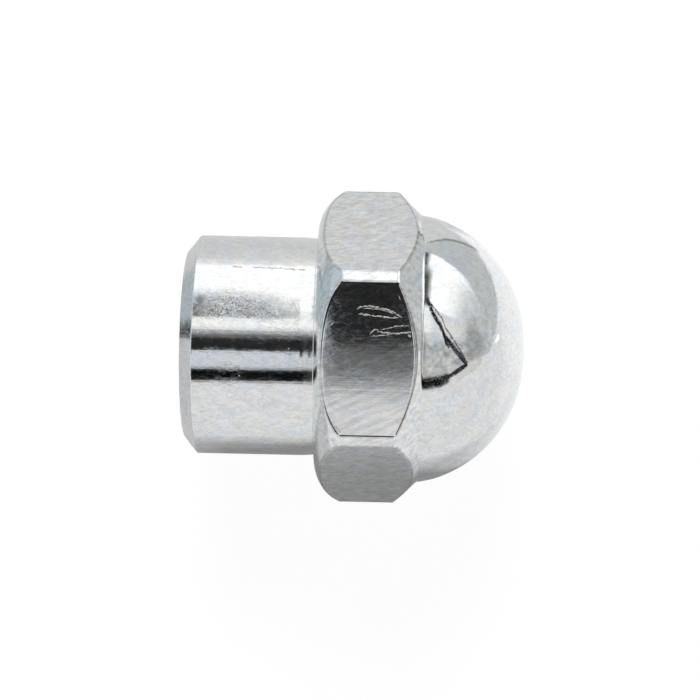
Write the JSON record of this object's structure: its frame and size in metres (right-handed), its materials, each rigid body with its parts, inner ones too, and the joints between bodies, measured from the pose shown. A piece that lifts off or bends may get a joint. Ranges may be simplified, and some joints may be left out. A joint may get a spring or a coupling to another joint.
{
  "type": "axle nut",
  "caption": "Chrome-plated blind axle nut: round bevelled shank, hexagon with rounded shoulders and a closed dome end; it screws onto a threaded axle end.",
  "frame": {"origin": "on the thread axis, in the plane of the shank's open end, where the axle enters", "axes": "+X along the thread axis from the open end to the crown of the dome; two of the hexagon's flats face +Z and -Z, and the nut lies on the -Z flat; two hexagon corners point along +Y and -Y"},
  "size_m": [0.033, 0.0306, 0.027],
  "materials": {
    "chrome_plate": "polished chrome plate with light machining marks and handling scratches"
  },
  "bodies": {
    "root": {"axle_nut": "chrome_plate"}
  },
  "joints": []
}
